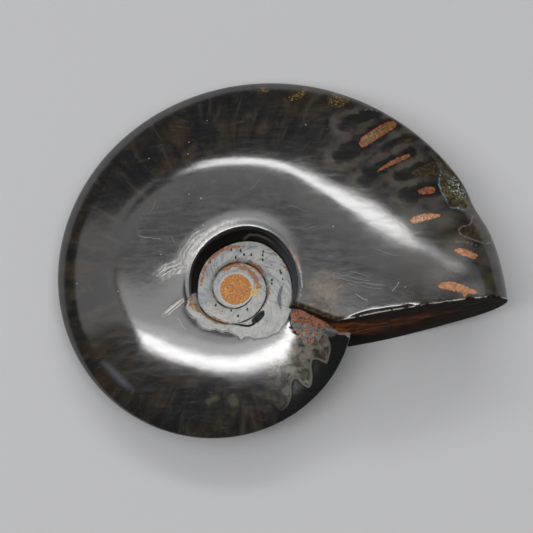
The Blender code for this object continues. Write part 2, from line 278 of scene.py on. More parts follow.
def surface_relief(angle, radius):
    """How far the worn, chipped and broken places stand above or below the polished form."""
    x, y = radius * np.cos(angle), radius * np.sin(angle)
    relief = 0.015 * rough(x, y, 7.0) + 0.008 * rough(x, y, 2.5, 3.0)

    away, along, side = nearest(x, y, GROWTH_LINES)
    band = ease(1.5 - abs(away) / 0.8) * ease(along * 8) * ease((1 - along) * 6)
    wobble = 0.5 * rough(x, y, 1.2, 8.0)
    relief += 0.035 * band * np.sin(side * away * TURN / 0.5 + 2.5 * wobble)

    away, along, side = nearest(x, y, GOUGE)
    middle = ease(along * 12) * ease((1 - along) * 12)
    relief += middle * (0.05 * hump(side * away - 0.34, 0.12) - 0.07 * hump(side * away, 0.22))

    from_cut = (angle - cut_angle(radius)) * radius
    uneven = rough(x, x * 0, 0.9, 5.0)
    long_chip = ease((x - 18.6) / 1.6) * ease((30 - x) / 1.2)
    relief -= 0.34 * long_chip * ease(1 - from_cut / (0.75 + 0.5 * uneven + 0.35 * hump(x - 22.5, 1.6)))
    for chip_x, width, reach in EDGE_CHIPS:
        relief -= 0.45 * hump(x - chip_x, width) * ease(1 - from_cut / (reach + 0.2 * uneven))
    relief -= 0.07 * ease(1 - from_cut / 0.22) * (1 + uneven)

    worn = ease(depth_inside(x, y, WORN_RIM) / 0.5 + 0.4)
    relief -= worn * (0.12 + 0.16 * rough(x, y, 0.9, 2.0) + 0.08 * rough(x, y, 0.4, 6.0))

    away, along, side = nearest(x, y, SHELL_TEETH)
    layered = ease(along * 15) * ease((1 - along) * 15)
    relief -= 0.035 * ease(side * away / 0.12 + 0.5) * ease((1.5 - away) / 1.5) * layered

    edge = mineral_edge(angle) + 0.12 * rough(x, y, 0.5, 9.0)
    bare = ease((edge - radius) / 0.16 + 0.5) * ease((np.degrees(angle) - 184) / 10)
    grain = 0.05 * rough(x, y, 0.8, 1.0) + 0.03 * rough(x, y, 0.3, 4.0)
    relief += bare * ease((radius - seam(angle)) / 0.25) * (grain - 0.13)

    behind = (TURN + START - angle) * radius
    crusted = ease(1 - behind / 4.2) * ease((radius - 10.2) / 1.0) * ease((17.0 - radius) / 1.5)
    relief += crusted * (0.22 * rough(x, y, 0.9, 7.0) + 0.12 * rough(x, y, 0.4, 2.0))
    return relief * ease((venter(angle) - radius) / 0.4)


def polar(angle, radius, height):
    return np.stack([radius * np.cos(angle), radius * np.sin(angle), height], axis=-1)


def growth_values(angle, radius):
    """What a face corner keeps: its growth angle, and its share of the way from the seam to the outer edge."""
    return np.stack([angle, (radius - seam(angle)) / (venter(angle) - seam(angle))], axis=-1)


UPPER_SHARES = flank_shares(INNER_STEPS, FLANK_STEPS, RIM_STEPS)
LOWER_SHARES = flank_shares(LOWER_INNER_STEPS, LOWER_FLANK_STEPS, LOWER_RIM_STEPS)
angle, radius, height = last_whorl_section(NOMINAL, WALL_STEPS, UPPER_SHARES)
seam_row = WALL_STEPS + INNER_STEPS
last_upper = polar(angle, radius, height + surface_relief(angle, radius))
last_upper[-1, seam_row] = last_upper[0, 0]
last_upper_growth = growth_values(angle, radius)
angle, radius, height = last_whorl_section(NOMINAL, LOWER_WALL_STEPS, LOWER_SHARES)
lower_seam_row = LOWER_WALL_STEPS + LOWER_INNER_STEPS
last_lower = polar(angle, radius, height + surface_relief(angle + 0.35, radius))
last_lower[-1, lower_seam_row] = last_lower[0, 0]
last_lower[..., 2] *= -1
last_lower_growth = growth_values(angle, radius)


def corner_verts(mesh):
    verts = np.empty(len(mesh.loops), np.int32)
    mesh.loops.foreach_get("vertex_index", verts)
    return verts


def keep_growth(mesh, growth):
    """Each face corner keeps two growth values, which are given for each vertex."""
    values = growth[corner_verts(mesh)].reshape(-1)
    mesh.attributes.new("growth", "FLOAT2", "CORNER").data.foreach_set("vector", values)


def wound_grid(name, places, growth):
    """A grid primitive whose rows are wound onto the given places. Each face corner keeps its growth values."""
    columns, rows = places.shape[0] - 1, places.shape[1] - 1
    bpy.ops.object.select_all(action="DESELECT")
    bpy.ops.mesh.primitive_grid_add(x_subdivisions=rows, y_subdivisions=columns, size=1)
    patch = bpy.context.object
    patch.name = name
    patch.data.vertices.foreach_set("co", places.reshape(-1))
    keep_growth(patch.data, growth.reshape(-1, 2))
    patch.data.update()
    return patch


patches = [wound_grid("last whorl upper", last_upper, last_upper_growth),
           wound_grid("last whorl lower", last_lower, last_lower_growth)]

# ---------------------------------------------------------------- The older whorls in the umbilicus
# The turns inside the last one, seen down the umbilicus. They are bare grey mineral, ribbed and pitted, with a
# dark groove along each seam, and are the same mesh wound on for another turn.

CORE_RADIUS = float(seam(np.array(START + 2 * TURN)))
CORE_HEIGHT = 2.8


def mineral_relief(angle, radius):
    x, y = radius * np.cos(angle), radius * np.sin(angle)
    turns = angle - START - TURN
    swirl = rough(angle * 3.2 + 0.35 * radius, radius * 0.30, 0.5, 11.0)
    fine = rough(angle * 9.0 + 0.5 * radius, radius * 0.35, 0.6, 12.0)
    ribs = rough(angle * 9.0 + 1.6 * radius, radius * 0.3, 0.9, 14.0)
    relief = 0.07 * swirl + 0.035 * fine + 0.04 * ribs + 0.025 * rough(x, y, 0.35, 13.0)
    groove_line = [(8.1, 0.5), (7.6, -0.8), (7.3, -1.9), (7.5, -3.3), (8.0, -4.6)]
    away, along, _ = nearest(x, y, groove_line)
    relief -= 0.16 * hump(away, 0.3) * ease(along * 5) * ease((1 - along) * 5)
    for px, py in SMALL_PITS:
        relief -= 0.16 * hump(np.hypot(x - px, (y - py) * 0.7), 0.16)
    start = ease(turns / 0.12)
    return relief * start


def pit_depth(places):
    inside = depth_inside(places[..., 0], places[..., 1], OVAL_PIT)
    line, _, _ = nearest(places[..., 0], places[..., 1], PIT_SEAM)
    return np.maximum(0.9 * ease(inside / 0.5 + 0.4), 0.35 * hump(line, 0.25))


def older_whorl(covering, seam_places, wall_steps, inner_steps):
    nominal = NOMINAL + TURN
    reach = np.hypot(seam_places[:, 0], seam_places[:, 1])
    out = np.arange(wall_steps) / wall_steps
    steps = np.arange(inner_steps + 1) / inner_steps
    foot, top = seam(nominal)[:, None], shoulder(nominal)[:, None]
    radius = np.hstack([foot + (top - foot) * out, top + (reach[:, None] - top) * steps])
    angle = np.repeat(nominal[:, None], radius.shape[1], axis=1)
    height = natural_height(angle, radius)
    filled = ease((nominal - START - 1.6 * TURN) / (0.4 * TURN))
    foot_height = (seam_height(nominal) * (1 - filled) + CORE_HEIGHT * filled)[:, None]
    rise = 1 - (1 - out) ** OLDER_WALL_RISE
    height[:, :wall_steps] = foot_height + (height[:, wall_steps:wall_steps + 1] - foot_height) * rise
    fade = ease((reach[:, None] - radius) / 0.35) * ease((radius - foot) / 0.3)
    height = height + mineral_relief(angle, radius) * fade
    places = polar(angle, radius, height)
    places[..., 2] -= pit_depth(places) * ease((angle - START - TURN) / 0.3)
    places[0] = covering
    places[:, -1] = seam_places
    return places, growth_values(angle, radius)


def filled_core(covering, seam_places, rows):
    """The oldest turn: a low crescent between the filled core and the next seam."""
    nominal = NOMINAL + 2 * TURN
    share = (np.arange(rows + 1) / rows)[None, :, None]
    edge = polar(NOMINAL, np.full(COLUMNS + 1, CORE_RADIUS), np.full(COLUMNS + 1, CORE_HEIGHT))
    places = edge[:, None] * (1 - share) + seam_places[:, None] * share
    reach = np.hypot(places[..., 0], places[..., 1])
    angle = np.repeat(nominal[:, None], rows + 1, axis=1)
    width = ease((np.hypot(seam_places[:, 0], seam_places[:, 1]) - CORE_RADIUS) / 0.8)[:, None]
    swell = np.sin(math.pi * share[..., 0])
    places[..., 2] += width * swell * (0.25 + mineral_relief(angle, reach))
    places[0] = covering
    places[-1] = edge[-1]
    return places, np.stack([angle, share[..., 0] * np.ones_like(angle)], axis=-1)


def core_disc(rings):
    """The filled core, a round granular spot."""
    share = 1 - np.arange(rings + 1) / rings
    angle = np.repeat(NOMINAL[:, None], rings + 1, axis=1)
    radius = CORE_RADIUS * share[None, :] * np.ones_like(angle)
    x, y = radius * np.cos(angle), radius * np.sin(angle)
    grains = 0.06 * rough(x, y, 0.45, 21.0) + 0.04 * rough(x, y, 0.2, 22.0)
    rim = hump(radius - 2.68, 0.12)
    height = CORE_HEIGHT + ease((CORE_RADIUS - radius) / 0.25) * (grains - 0.05 * rim)
    height[:, -1] = CORE_HEIGHT
    return polar(angle, radius, height), np.stack([angle, share[None, :] * np.ones_like(angle)], axis=-1)


def wind_inwards(name, last, row, wall_steps, inner_steps, rings, side):
    upright = last.copy()
    upright[..., 2] *= side
    older, growth = older_whorl(upright[-1, :row + 1], upright[:, 0], wall_steps, inner_steps)
    core, core_growth = filled_core(older[-1], older[:, 0], row)
    disc, disc_growth = core_disc(rings)
    for part in (older, core, disc):
        part[..., 2] *= side
    return [wound_grid(name + " older whorl", older, growth), wound_grid(name + " core", core, core_growth),
            wound_grid(name + " disc", disc, disc_growth)]


patches += wind_inwards("upper", last_upper, seam_row, WALL_STEPS, INNER_STEPS, 8, 1)
patches += wind_inwards("lower", last_lower, lower_seam_row, LOWER_WALL_STEPS, LOWER_INNER_STEPS, 4, -1)

# ---------------------------------------------------------------- The saw cut
# The mouth of the shell, sawn across and left unpolished: near-black under the edge and rusty matrix below it.
# Two strips reach down from the upper edge and up from the lower one, and meet at the middle.

CUT_STEPS = 14
MIDDLE_GAP = 0.12


def cut_half(last, row, side):
    edge = last[0]
    older = last[-1, row:]
    end, tip = older[-1], edge[-1]
    spare = len(edge) - len(older)
    share = (np.arange(1, spare + 1) / spare)[:, None]
    middle = end * (1 - share) + tip * share
    middle[:, 2] += side * MIDDLE_GAP * 4 * (share * (1 - share))[:, 0]
    foot = np.vstack([older, middle])
    down = (np.arange(CUT_STEPS + 1) / CUT_STEPS)[None, :, None]
    places = edge[:, None] * (1 - down) + foot[:, None] * down
    inside = (np.sin(math.pi * down) ** 0.5)[..., 0] * ease(abs(edge - foot)[:, 2:] / 3.0)
    x, z = places[..., 0], places[..., 2]
    lumps = 0.30 * rough(x, z, 2.4, 31.0) + 0.14 * rough(x, z, 0.8, 32.0)
    hollow = 0.5 * hump(places[..., 0] - 17, 5.0)
    places[..., 1] += inside * (lumps + hollow)
    below = edge[:, None, 2] - places[..., 2]
    return places, np.stack([places[..., 0], side * below], axis=-1), middle


upper_cut, upper_cut_growth, upper_middle = cut_half(last_upper, seam_row, 1)
lower_cut, lower_cut_growth, lower_middle = cut_half(last_lower, lower_seam_row, -1)
cut_patches = [wound_grid("cut upper", upper_cut, upper_cut_growth),
               wound_grid("cut lower", lower_cut, lower_cut_growth)]

end = last_upper[-1, -1]
strip_upper = np.vstack([[end], upper_middle])
strip_lower = np.vstack([[end], lower_middle])
points = np.vstack([strip_upper, strip_lower])
strip_faces = []
i = j = 0
while i < len(strip_upper) - 1 or j < len(strip_lower) - 1:
    next_upper = strip_upper[i + 1][0] if i < len(strip_upper) - 1 else math.inf
    next_lower = strip_lower[j + 1][0] if j < len(strip_lower) - 1 else math.inf
    if next_upper <= next_lower:
        corners = (i, i + 1, len(strip_upper) + j)
        i += 1
    else:
        corners = (i, len(strip_upper) + j + 1, len(strip_upper) + j)
        j += 1
    strip_faces.append(corners)
strip_mesh = bpy.data.meshes.new("cut middle")
strip_mesh.from_pydata([tuple(p) for p in points], [], strip_faces)
strip = bpy.data.objects.new("cut middle", strip_mesh)
bpy.context.collection.objects.link(strip)
keep_growth(strip_mesh, np.stack([points[:, 0], np.full(len(points), 9.0)], axis=-1))
cut_patches.append(strip)

polished_shell = bpy.data.materials.new("polished_shell")
sawn_matrix = bpy.data.materials.new("sawn_matrix")
for patch in patches + cut_patches:
    patch.data.materials.append(polished_shell)
for patch in cut_patches:
    patch.data.materials.append(sawn_matrix)
    patch.data.polygons.foreach_set("material_index", [1] * len(patch.data.polygons))

bpy.ops.object.select_all(action="DESELECT")
for patch in patches + cut_patches:
    patch.select_set(True)
bpy.context.view_layer.objects.active = patches[0]
bpy.ops.object.join()
stone = bpy.context.object
stone.name = "ammonite_stone"
bpy.ops.object.mode_set(mode="EDIT")
bpy.ops.mesh.select_all(action="SELECT")
bpy.ops.mesh.remove_doubles(threshold=0.0005)
bpy.ops.mesh.dissolve_degenerate(threshold=0.0001)
bpy.ops.mesh.normals_make_consistent(inside=False)
bpy.ops.object.mode_set(mode="OBJECT")

# ---------------------------------------------------------------- The markings
# What shows in the stone: rusty slits of matrix where the chamber walls were, gold and brown pockets, the
# toothed edge of the shell layer, rust and crust in the umbilicus. Each is kept on the mesh as a depth inside
# its outline, or as a distance across its line.

RUST_SLITS = [
    [(20.5, 23.9), (20.9, 25.1), (22.2, 26.2), (23.7, 27.5), (25.2, 28.6), (26.2, 29.0), (26.9, 28.1),
     (26.2, 27.2), (25.0, 26.1), (23.5, 24.9), (22.0, 23.6), (21.0, 23.0)],
    [(23.3, 18.3), (24.3, 19.5), (25.7, 20.7), (27.0, 21.6), (28.5, 22.3), (29.1, 22.1), (28.2, 21.2),
     (26.7, 20.4), (25.5, 19.6), (24.6, 19.1)],
    [(30.1, 15.2), (30.7, 15.9), (31.7, 16.3), (32.7, 16.3), (33.1, 15.8), (32.8, 15.1), (31.7, 14.8),
     (30.7, 14.7)],
    [(28.8, 9.6), (29.4, 10.4), (30.7, 11.0), (32.1, 11.25), (33.6, 11.3), (34.1, 10.9), (33.1, 10.4),
     (31.6, 9.9), (30.4, 9.4), (29.3, 9.1)],
    [(35.8, 4.7), (36.5, 5.2), (37.5, 5.2), (38.7, 4.7), (39.9, 4.2), (39.5, 3.9), (39.4, 3.3), (38.9, 3.5),
     (37.7, 3.8), (36.5, 4.2)],
    [(33.2, -1.6), (33.8, -0.9), (35.4, -0.6), (36.9, -1.0), (38.3, -1.6), (39.9, -2.3), (39.0, -2.55),
     (37.7, -2.5), (37.6, -3.3), (37.1, -3.4), (37.1, -2.5), (35.1, -2.2), (33.7, -1.9)]]
GOLD_POCKETS = [
    [(36.8, 8.4), (37.3, 9.0), (38.8, 9.5), (39.3, 12.1), (39.9, 12.4), (41.1, 9.8), (42.0, 7.9), (41.2, 6.7),
     (39.2, 7.1), (37.3, 7.7)],
    [(28.8, 18.6), (30.5, 19.9), (32.0, 21.1), (33.4, 21.5), (33.9, 19.9), (33.4, 18.3), (31.4, 18.1),
     (29.5, 18.2)],
    [(26.7, 24.8), (28.0, 25.4), (29.5, 25.5), (30.0, 25.1), (28.5, 24.4), (27.2, 24.3)],
    [(15.0, 32.7), (15.8, 34.0), (17.2, 34.4), (18.8, 33.9), (19.0, 32.1), (17.4, 30.9), (15.7, 30.8)],
    [(8.4, 32.6), (9.8, 33.7), (11.4, 34.9), (12.8, 35.0), (11.5, 33.2), (9.5, 32.0)],
    [(3.0, 34.8), (4.7, 35.3), (6.0, 34.6), (4.8, 33.9)]]
DARK_LOBES = [
    ([(26.5, 28.7), (23.4, 26.3), (20.7, 23.9), (19.1, 22.5), (17.8, 21.2)], 1.35),
    ([(30.1, 25.9), (28.0, 25.2), (26.6, 24.6), (24.8, 23.5)], 0.65),
    ([(28.9, 22.5), (26.7, 21.3), (24.6, 19.7), (22.4, 17.8), (21.4, 16.5)], 0.85),
    ([(33.5, 21.3), (31.6, 20.2), (29.2, 18.6), (27.3, 17.8)], 0.95),
    ([(33.2, 16.0), (31.6, 15.6), (30.0, 15.1), (28.6, 14.4)], 1.2),
    ([(23.6, 30.7), (21.7, 29.6), (19.6, 28.5), (18.2, 27.4)], 0.95)]
DARK_DROP = [(20.2, 28.4), (20.7, 29.7), (21.9, 30.4), (23.4, 30.3), (23.5, 29.6), (22.4, 28.8), (21.4, 28.1),
             (20.4, 27.9)]
# a painted reflection: the soft bluish streak on a facet at the lower left, put in as colour
REFLECTION_STREAK = [(-22.6, -11.4), (-21.4, -11.4), (-18.4, -14.2), (-16.5, -16.4), (-16.9, -17.0), (-18.5, -15.9),
         (-20.7, -13.7)]
WALL_ARC = [(1.1, 6.9), (1.5, 7.9), (2.6, 8.3), (4.0, 8.1), (5.4, 7.5), (6.6, 6.6), (7.4, 5.7)]
LENS_LINE = [(8.1, 0.5), (7.8, -0.2), (7.55, -0.9), (7.4, -1.6), (7.35, -2.3), (7.4, -3.0), (7.55, -3.7),
             (7.75, -4.3), (8.0, -4.8)]
RIM_LINE = [(9.4, 5.0), (10.5, 3.0), (11.2, 1.0), (11.45, -1.1), (11.2, -2.7), (10.9, -3.9)]
LEDGE = [(14.9, -7.35), (16.6, -7.2), (18.4, -7.45), (20.4, -8.8)]
SCRATCHES = [
    ((27.0, -0.9), (26.7, -1.7), 0.10, 1.0), ((26.7, -1.7), (25.9, -2.7), 0.07, 0.9),
    ((16.0, 0.7), (22.8, -0.9), 0.04, 0.45), ((17.0, -0.2), (25.3, -1.9), 0.05, 0.5),
    ((18.4, -1.1), (24.7, -2.4), 0.04, 0.45), ((19.2, 1.0), (22.8, -0.3), 0.04, 0.4),
    ((20.0, -3.0), (22.1, -4.1), 0.07, 0.8), ((-16.2, 8.6), (-11.6, 7.8), 0.06, 0.6),
    ((-10.3, 8.2), (-9.5, 7.1), 0.06, 0.4), ((9.1, 12.5), (12.8, 11.1), 0.04, 0.35),
    ((11.1, 8.1), (14.1, 8.7), 0.04, 0.4), ((2.9, 15.4), (4.8, 17.7), 0.04, 0.35),
    ((-9.3, -5.4), (-7.6, -7.7), 0.08, 0.45), ((23.0, 4.5), (27.5, 3.2), 0.04, 0.35),
    ((-14.2, 12.0), (-12.9, 14.4), 0.05, 0.35)]
PALE_LINES = [
    [(36.0, 6.3), (37.2, 6.4), (38.5, 6.2), (39.5, 5.9)],
    [(19.6, 28.2), (20.2, 30.0), (21.8, 30.9), (23.8, 30.7)]]
OLIVE_SPOTS = [
    [(-1.0, -17.6), (-0.1, -17.0), (0.9, -18.3), (1.0, -19.6), (-0.2, -20.0), (-1.3, -19.6)],
    [(-5.1, -18.6), (-3.6, -17.6), (-2.6, -17.6), (-2.3, -18.6), (-3.7, -18.9), (-4.4, -19.6)]]
STAIN = [(12.1, -5.1), (12.7, -3.9), (14.5, -3.3), (16.4, -4.7), (18.0, -6.2), (16.7, -6.7), (14.5, -5.8),
         (12.7, -5.3)]
CORNER_CRUST = [(9.4, -4.4), (9.2, -5.6), (9.4, -7.1), (10.7, -8.7), (11.4, -9.6), (12.6, -9.6), (13.8, -8.7),
                (14.8, -7.5), (20.0, -7.8), (20.5, -4.0), (14, -3), (11, -3)]
CRUST_RUST = [(9.4, -4.2), (9.4, -6.1), (11.0, -6.7), (13.0, -7.1), (15.0, -7.4), (19.0, -7.6), (20.5, -5.0),
              (14, -3), (11, -3)]
RIM_CRUST = [(-7.0, -1.1), (-6.4, -2.3), (-5.6, -3.6), (-4.3, -4.5), (-2.9, -5.1), (-0.8, -5.8), (-1.3, -6.5),
             (-2.5, -6.6), (-4.0, -5.8), (-5.2, -4.7), (-6.6, -4.0), (-7.6, -3.5), (-7.4, -2.8)]
RUST_LINES = [
    ([(-5.6, 0.6), (-5.3, 2.2), (-4.9, 3.3), (-3.9, 5.1), (-2.3, 6.2), (-0.8, 6.8), (1.5, 6.8)], 0.24),
    ([(6.0, 5.8), (7.3, 4.5), (8.3, 3.0), (8.9, 1.9)], 0.12),
    ([(5.4, -0.3), (5.45, -1.4), (5.1, -2.4), (4.6, -3.1)], 0.26),
    ([(-1.8, 3.4), (-1.0, 3.9), (0.1, 4.1), (1.5, 3.5), (2.5, 2.9), (3.3, 1.6), (3.7, 0.3)], 0.40),
    ([(2.5, 4.2), (3.4, 3.5), (4.3, 2.6)], 0.42),
    ([(9.3, 5.3), (10.4, 3.6), (11.0, 2.2), (11.3, 1.0)], 0.17)]
CRYSTALS = (3.2, -0.4)


def rounded(outline):
    """The outline with its corners cut once, which keeps its size and loses its points."""
    points = []
    for (ax, ay), (bx, by) in zip(outline, outline[1:] + outline[:1]):
        points += [(0.8 * ax + 0.2 * bx, 0.8 * ay + 0.2 * by), (0.2 * ax + 0.8 * bx, 0.2 * ay + 0.8 * by)]
    return points


mesh = stone.data
coil_places = np.empty(len(mesh.vertices) * 3, np.float32)
mesh.vertices.foreach_get("co", coil_places)
coil_places = coil_places.reshape(-1, 3).astype(float)
corner_vert = corner_verts(mesh)
growth = np.empty(len(mesh.loops) * 2, np.float32)
mesh.attributes["growth"].data.foreach_get("vector", growth)
corner_angle = growth[0::2].astype(float)
corner_radius = np.hypot(coil_places[corner_vert, 0], coil_places[corner_vert, 1])
upper = coil_places[:, 2] > -0.01

# The lower side has like markings, but a little further round.
shift = np.where(upper, 0.0, 0.5)
x = coil_places[:, 0] * np.cos(shift) - coil_places[:, 1] * np.sin(shift)
y = coil_places[:, 0] * np.sin(shift) + coil_places[:, 1] * np.cos(shift)
turned = np.stack([x, y, coil_places[:, 2]], axis=-1).astype(np.float32)
mesh.attributes.new("coil", "FLOAT_VECTOR", "POINT").data.foreach_set("vector", turned.reshape(-1))


def keep(name, values, domain="POINT"):
    values = np.clip(values, -4, 4).astype(np.float32)
    mesh.attributes.new(name, "FLOAT", domain).data.foreach_set("value", values)


keep("slit", np.max([depth_inside(x, y, outline) for outline in RUST_SLITS], axis=0))
keep("early", ease((np.degrees(np.arctan2(y, x)) - 20) / 5))  # the slits away from the mouth are darker
keep("lobe", np.max([width - nearest(x, y, line)[0] for line, width in DARK_LOBES], axis=0))
keep("pale", 0.16 - np.min([nearest(x, y, line)[0] for line in PALE_LINES], axis=0))
keep("worn", depth_inside(x, y, WORN_RIM))
behind_teeth = [(0, -23), (-2, -22), (-3, -19), (0, -12), (8, -9), (12, -8)]
for name, outlines in (("gold", GOLD_POCKETS), ("olive", OLIVE_SPOTS), ("smear", [REFLECTION_STREAK]),
                       ("drop", [DARK_DROP]), ("stain", [STAIN]), ("teeth", [SHELL_TEETH + behind_teeth])):
    keep(name, np.max([depth_inside(x, y, rounded(outline)) for outline in outlines], axis=0))
real_x, real_y = coil_places[:, 0], coil_places[:, 1]
for name, outline in (("crust", CORNER_CRUST), ("crust_rust", CRUST_RUST), ("rim_crust", RIM_CRUST),
                      ("oval", OVAL_PIT)):
    keep(name, depth_inside(real_x, real_y, rounded(outline)))
lines = [width - nearest(real_x, real_y, line)[0] for line, width in RUST_LINES]
keep("rust_line", np.max(lines, axis=0))
keep("core", 2.62 - np.hypot(real_x, real_y))
keep("ledge_highlight", 0.22 - nearest(real_x, real_y, LEDGE)[0])
for name, line, fade in (("arc", WALL_ARC, 3), ("rim_line", RIM_LINE, 4)):
    away, along, side = nearest(real_x, real_y, line)
    keep(name + "_across", side * away)
    keep(name, ease(along * 6) * ease((1 - along) * fade) * ease(1.6 - away))
away, along, side = nearest(real_x, real_y, GROWTH_LINES)
keep("wrinkle_across", side * away)
keep("wrinkle", ease(1.9 - abs(away + 0.2 * side) / 0.8) * ease(along * 8) * ease((1 - along) * 5))
away, along, side = nearest(real_x, real_y, GOUGE)
keep("gouge_across", side * away)
keep("gouge_along", along)
keep("gouge", 0.5 - away)
keep("crystal", 0.9 - np.hypot(real_x - CRYSTALS[0], (real_y - CRYSTALS[1]) * 0.6))
pits = [0.16 - np.hypot(real_x - px, (real_y - py) * 0.6) for px, py in SMALL_PITS]
pit_line = 0.2 - nearest(real_x, real_y, PIT_SEAM)[0]
keep("pit", np.max(pits + [pit_line], axis=0))
away, along, _ = nearest(real_x, real_y, LENS_LINE)
keep("lens_groove", 0.36 * np.sin(math.pi * along) - away)

# These change suddenly where one turn meets the next, so they are kept by face corner.
bare = np.where(corner_angle > START + TURN - 1e-6, 2.0, mineral_edge(corner_angle) - corner_radius)
keep("mineral", bare, "CORNER")
turns_in = np.floor((corner_angle - START) / TURN + 1e-6)
own_seam = corner_radius - seam(corner_angle)
next_seam = seam(corner_angle - TURN) - corner_radius
keep("seam", np.where(turns_in >= 1, np.minimum(abs(own_seam), abs(next_seam)), abs(own_seam)), "CORNER")
from_cut = (corner_angle - cut_angle(corner_radius)) * corner_radius
keep("from_cut", np.where(turns_in < 1, from_cut, 4.0), "CORNER")
corner_x = coil_places[corner_vert, 0]
chips = [hump(corner_x - chip_x, width) * reach - from_cut for chip_x, width, reach in EDGE_CHIPS]
keep("chip", np.where(turns_in < 1, np.max(chips, axis=0) - 0.1, -1.0), "CORNER")
own_wall = (corner_radius - seam(corner_angle)) / (shoulder(corner_angle) - seam(corner_angle))
keep("wall", np.where(turns_in < 1, own_wall, 4.0), "CORNER")

# The finished stone is laid down on the flat of its lower side, in metres.
AXIS_PLACE = Vector((-7.04514887, -6.09030761, 7.76090659))
lying = Vector((*FLAT_SLOPE, 1)).rotation_difference(Vector((0, 0, 1))).to_matrix()
laid = (coil_places @ np.array(lying).T + np.array(AXIS_PLACE)) * 0.001
stone.data.vertices.foreach_set("co", laid.reshape(-1))
stone.data.update()
bpy.ops.object.select_all(action="DESELECT")
stone.select_set(True)
bpy.context.view_layer.objects.active = stone
bpy.ops.object.shade_smooth_by_angle(angle=math.radians(50))
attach(stone, "root")
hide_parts("ammonite")

# ---------------------------------------------------------------- The polished stone and its bare mineral
# Black mineral polished to a deep gloss, clouded brown and olive in the outer half, with hairline scratches. In
# the umbilicus it is matt: blue-grey mineral with rust in its cracks, about an orange granular core.


def feed(socket, value):
    if isinstance(value, bpy.types.NodeSocket):
        tree.links.new(value, socket)
    elif isinstance(value, tuple) and len(value) == 3 and socket.type == "RGBA":
        socket.default_value = (*value, 1)
    else:
        socket.default_value = value


def add(kind, inputs, **settings):
    """A node in the tree of the material that is being made, its inputs set or linked."""
    node = tree.nodes.new("ShaderNode" + kind)
    for key, value in settings.items():
        setattr(node, key, value)
    for key, value in inputs.items():
        feed(node.inputs[key], value)
    return node


def maths(operation, a, b=0.0):
    return add("Math", {0: a, 1: b}, operation=operation).outputs[0]


def times(*shares):
    product = shares[0]
    for share in shares[1:]:
        product = maths("MULTIPLY", product, share)
    return product


def most(*shares):
    largest = shares[0]
    for share in shares[1:]:
        largest = maths("MAXIMUM", largest, share)
    return largest


def within(value, low, high):
    """0 below low, 1 above high, and a smooth step between them."""
    node = add("MapRange", {"Value": value, "From Min": low, "From Max": high}, interpolation_type="SMOOTHSTEP")
    return node.outputs["Result"]


def ragged(depth, edge, strength, low, high):
    """0 outside an outline and 1 inside it, the step between them broken up by noise."""
    return within(maths("ADD", depth, times(edge, strength)), low, high)


def tint(share, under, over):
    node = add("Mix", {}, data_type="RGBA")
    feed(node.inputs["Factor"], share)
    feed(node.inputs[6], under)
    feed(node.inputs[7], over)
    return node.outputs[2]


def level(share, under, over):
    node = add("Mix", {"Factor": share}, data_type="FLOAT")
    feed(node.inputs[2], under)
    feed(node.inputs[3], over)
    return node.outputs[0]


def lumps(place, size, detail, distortion=0.0):
    """Noise from 0 to 1 whose lumps are this many units of the place across."""
    inputs = {"Vector": place, "Scale": 1 / size, "Detail": detail, "Distortion": distortion}
    return add("TexNoise", inputs).outputs["Fac"]


def kept(name):
    return add("Attribute", {}, attribute_name=name).outputs["Fac"]


def moved(place, scale=(1, 1, 1), rotation=(0, 0, 0), location=(0, 0, 0)):
    inputs = {"Vector": place, "Scale": scale, "Rotation": rotation, "Location": location}
    return add("Mapping", inputs).outputs["Vector"]


def distance_from(centre):
    """Distance from a place in the coil, in its millimetres."""
    return add("VectorMath", {0: coil, 1: centre}, operation="DISTANCE").outputs["Value"]


def drawn_line(name, width):
    """1 on a line kept on the mesh with the distance to either side of it, fading out at this width."""
    return times(kept(name), within(maths("ABSOLUTE", kept(name + "_across")), width, 0.4 * width))


def hairline(place, start, end, width):
    """1 along a straight scratch from start to end."""
    slope = math.atan2(end[1] - start[1], end[0] - start[0])
    inputs = {"Vector": place, "Location": (*start, 0), "Rotation": (0, 0, slope),
              "Scale": (math.dist(start, end), width, 1)}
    parts = add("SeparateXYZ", {"Vector": add("Mapping", inputs, vector_type="TEXTURE").outputs["Vector"]})
    along = parts.outputs["X"]
    ends = times(within(along, 0.0, 0.12), within(along, 1.0, 0.88))
    return times(ends, within(maths("ABSOLUTE", parts.outputs["Y"]), 1.0, 0.4))


def brushed(place, turn, length, width):
    """Noise drawn out into fine lines this long and wide, turned in the plane of the coil."""
    return lumps(moved(moved(place, rotation=(0, 0, turn)), scale=(1 / length, 1 / width, 0.2)), 1.0, 2)


polished_shell.use_nodes = True
tree = polished_shell.node_tree
shader = tree.nodes["Principled BSDF"]
object_place = add("TexCoord", {}).outputs["Object"]
place = moved(object_place, scale=(1000, 1000, 1000))  # millimetres
coil = add("Attribute", {}, attribute_name="coil").outputs["Vector"]
coil_parts = add("SeparateXYZ", {"Vector": coil})
coil_x, coil_y = coil_parts.outputs["X"], coil_parts.outputs["Y"]
sway = add("TexNoise", {"Vector": coil, "Scale": 0.5}).outputs["Color"]
coil_wavy = add("VectorMath", {0: coil, 1: sway}, operation="ADD").outputs["Vector"]
coil_wavy = moved(coil_wavy, location=(-0.5, -0.5, -0.5))
growth_place = add("Attribute", {}, attribute_name="growth").outputs["Vector"]
growth_parts = add("SeparateXYZ", {"Vector": growth_place})
angle_in, share_out = growth_parts.outputs["X"], growth_parts.outputs["Y"]
early = kept("early")

edge_fine = maths("SUBTRACT", lumps(place, 0.45, 3), 0.5)
edge_wide = maths("SUBTRACT", lumps(place, 1.6, 3), 0.5)
fine_grain = lumps(place, 0.22, 4)
coarse_grain = lumps(place, 0.6, 4)

